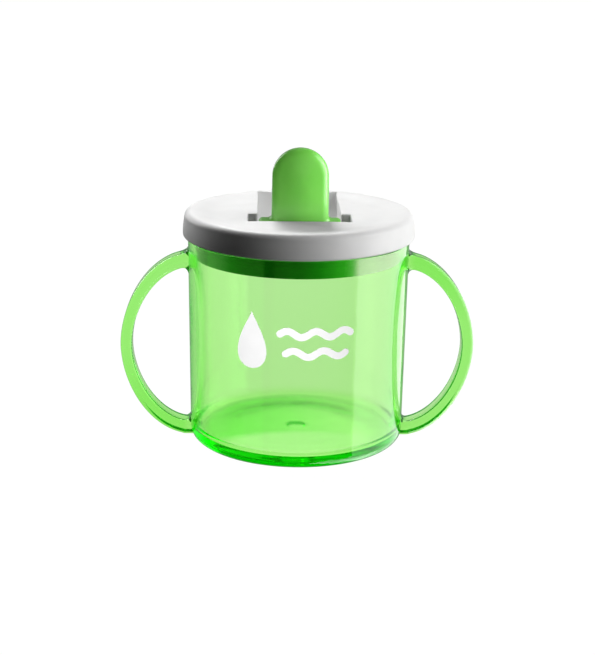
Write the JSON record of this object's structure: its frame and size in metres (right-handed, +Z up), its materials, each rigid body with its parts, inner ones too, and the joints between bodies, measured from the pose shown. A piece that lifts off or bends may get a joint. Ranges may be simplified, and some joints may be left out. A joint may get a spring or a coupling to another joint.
{
  "type": "sippy cup",
  "caption": "Round two-handled toddler cup with a push-on lid and a flip-up spout that folds back into a recess in the lid.",
  "frame": {"origin": "centre of the cup's base, on the plane of its foot ring", "axes": "+Z up along the cup's axis, X through the two handles, -Y towards the spout's front, and the spout folds back towards +Y"},
  "size_m": [0.1178, 0.076, 0.0994],
  "materials": {
    "clear_green_plastic": "glossy see-through green moulded polypropylene",
    "white_plastic": "satin white moulded polypropylene",
    "solid_green_plastic": "satin opaque green moulded polypropylene"
  },
  "bodies": {
    "cup": {"cup_body": "clear_green_plastic"},
    "lid": {"lid": "white_plastic"},
    "spout": {"spout": "solid_green_plastic"}
  },
  "joints": [
    {"name": "lid_lift", "type": "slide", "parent": "cup", "child": "lid", "axis": [0, 0, 1], "range_m": [0, 0.03]},
    {"name": "spout_flip", "type": "hinge", "parent": "lid", "child": "spout", "pos_m": [0, -0.0095, 0.0716], "axis": [-1, 0, 0], "range_deg": [0, 90]}
  ]
}
